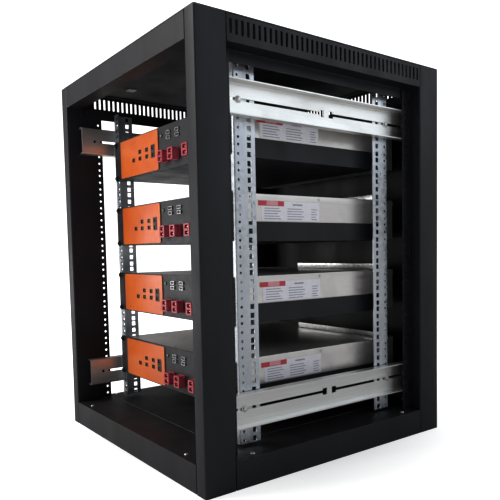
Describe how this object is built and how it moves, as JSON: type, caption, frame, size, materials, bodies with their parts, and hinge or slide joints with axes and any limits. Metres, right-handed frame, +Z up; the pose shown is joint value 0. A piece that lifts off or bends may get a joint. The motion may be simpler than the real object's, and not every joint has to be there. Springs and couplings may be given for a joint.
{
  "type": "rack-mounted uninterruptible power supply",
  "caption": "Black rack cabinet, open at front and sides, with galvanised rails and braces, holding pull-out 2U UPS modules with orange fascias, red DC connectors, breaker, button and rear fan.",
  "frame": {"origin": "centre of the cabinet's base, on the floor", "axes": "+Z up, -Y towards the front where the modules slide out, +X to the right of someone facing the front"},
  "size_m": [0.6, 0.6, 0.7779],
  "materials": {
    "powder_coat": "black fine-textured powder coat",
    "galvanised": "galvanised steel sheet",
    "zinc": "bright zinc-plated steel sheet",
    "case_steel": "plain satin steel sheet",
    "panel_black": "satin black paint",
    "fascia_orange": "satin orange paint",
    "connector_red": "moulded red plastic",
    "button_grey": "moulded grey plastic",
    "fan_plastic": "moulded black plastic",
    "battery_wrap": "blue film wrap",
    "board_green": "solder mask"
  },
  "bodies": {
    "cabinet": {"top_frame": "powder_coat", "roof_panel": "powder_coat", "bottom_frame": "powder_coat", "rear_panel": "powder_coat", "post_front_left": "powder_coat", "post_front_right": "powder_coat", "post_rear_left": "powder_coat", "post_rear_right": "powder_coat", "rail_front_left": "galvanised", "rail_front_right": "galvanised", "rail_rear_left": "galvanised", "rail_rear_right": "galvanised", "brace_lower_left": "zinc", "brace_lower_right": "zinc", "brace_upper_left": "zinc", "brace_upper_right": "zinc", "shelf_1": "powder_coat", "shelf_2": "powder_coat", "shelf_3": "powder_coat", "shelf_4": "powder_coat"},
    "module_1": {"module_1_chassis": "case_steel", "module_1_cover": "case_steel", "module_1_front_panel": "panel_black", "module_1_fascia": "fascia_orange", "module_1_dc_connectors": "connector_red", "module_1_battery_pack": "battery_wrap", "module_1_power_board": "board_green"},
    "button_1": {"module_1_power_button": "button_grey"},
    "breaker_1": {"module_1_breaker_lever": "button_grey"},
    "fan_1": {"module_1_fan_rotor": "fan_plastic"},
    "module_2": {"module_2_chassis": "case_steel", "module_2_cover": "case_steel", "module_2_front_panel": "panel_black", "module_2_fascia": "fascia_orange", "module_2_dc_connectors": "connector_red", "module_2_battery_pack": "battery_wrap", "module_2_power_board": "board_green"},
    "button_2": {"module_2_power_button": "button_grey"},
    "breaker_2": {"module_2_breaker_lever": "button_grey"},
    "fan_2": {"module_2_fan_rotor": "fan_plastic"},
    "module_3": {"module_3_chassis": "case_steel", "module_3_cover": "case_steel", "module_3_front_panel": "panel_black", "module_3_fascia": "fascia_orange", "module_3_dc_connectors": "connector_red", "module_3_battery_pack": "battery_wrap", "module_3_power_board": "board_green"},
    "button_3": {"module_3_power_button": "button_grey"},
    "breaker_3": {"module_3_breaker_lever": "button_grey"},
    "fan_3": {"module_3_fan_rotor": "fan_plastic"},
    "module_4": {"module_4_chassis": "case_steel", "module_4_cover": "case_steel", "module_4_front_panel": "panel_black", "module_4_fascia": "fascia_orange", "module_4_dc_connectors": "connector_red", "module_4_battery_pack": "battery_wrap", "module_4_power_board": "board_green"},
    "button_4": {"module_4_power_button": "button_grey"},
    "breaker_4": {"module_4_breaker_lever": "button_grey"},
    "fan_4": {"module_4_fan_rotor": "fan_plastic"}
  },
  "joints": [
    {"name": "module_1_slide", "type": "slide", "parent": "cabinet", "child": "module_1", "axis": [0, -1, 0], "range_m": [0, 0.25]},
    {"name": "power_button_1_press", "type": "slide", "parent": "module_1", "child": "button_1", "axis": [0, 1, 0], "range_m": [0, 0.003], "stiffness_N_per_m": 400, "springref_m": -0.002},
    {"name": "breaker_1_throw", "type": "hinge", "parent": "module_1", "child": "breaker_1", "pos_m": [0.19, -0.1863, 0.5923], "axis": [1, 0, 0], "range_deg": [0, 40]},
    {"name": "fan_1_spin", "type": "hinge", "parent": "module_1", "child": "fan_1", "pos_m": [0.132, 0.23395, 0.6113], "axis": [0, 1, 0], "continuous": true},
    {"name": "module_2_slide", "type": "slide", "parent": "cabinet", "child": "module_2", "axis": [0, -1, 0], "range_m": [0, 0.25]},
    {"name": "power_button_2_press", "type": "slide", "parent": "module_2", "child": "button_2", "axis": [0, 1, 0], "range_m": [0, 0.003], "stiffness_N_per_m": 400, "springref_m": -0.002},
    {"name": "breaker_2_throw", "type": "hinge", "parent": "module_2", "child": "breaker_2", "pos_m": [0.19, -0.1863, 0.4413], "axis": [1, 0, 0], "range_deg": [0, 40]},
    {"name": "fan_2_spin", "type": "hinge", "parent": "module_2", "child": "fan_2", "pos_m": [0.132, 0.23395, 0.4603], "axis": [0, 1, 0], "continuous": true},
    {"name": "module_3_slide", "type": "slide", "parent": "cabinet", "child": "module_3", "axis": [0, -1, 0], "range_m": [0, 0.25]},
    {"name": "power_button_3_press", "type": "slide", "parent": "module_3", "child": "button_3", "axis": [0, 1, 0], "range_m": [0, 0.003], "stiffness_N_per_m": 400, "springref_m": -0.002},
    {"name": "breaker_3_throw", "type": "hinge", "parent": "module_3", "child": "breaker_3", "pos_m": [0.19, -0.1863, 0.2903], "axis": [1, 0, 0], "range_deg": [0, 40]},
    {"name": "fan_3_spin", "type": "hinge", "parent": "module_3", "child": "fan_3", "pos_m": [0.132, 0.23395, 0.3093], "axis": [0, 1, 0], "continuous": true},
    {"name": "module_4_slide", "type": "slide", "parent": "cabinet", "child": "module_4", "axis": [0, -1, 0], "range_m": [0, 0.25]},
    {"name": "power_button_4_press", "type": "slide", "parent": "module_4", "child": "button_4", "axis": [0, 1, 0], "range_m": [0, 0.003], "stiffness_N_per_m": 400, "springref_m": -0.002},
    {"name": "breaker_4_throw", "type": "hinge", "parent": "module_4", "child": "breaker_4", "pos_m": [0.19, -0.1863, 0.1393], "axis": [1, 0, 0], "range_deg": [0, 40]},
    {"name": "fan_4_spin", "type": "hinge", "parent": "module_4", "child": "fan_4", "pos_m": [0.132, 0.23395, 0.1583], "axis": [0, 1, 0], "continuous": true}
  ]
}
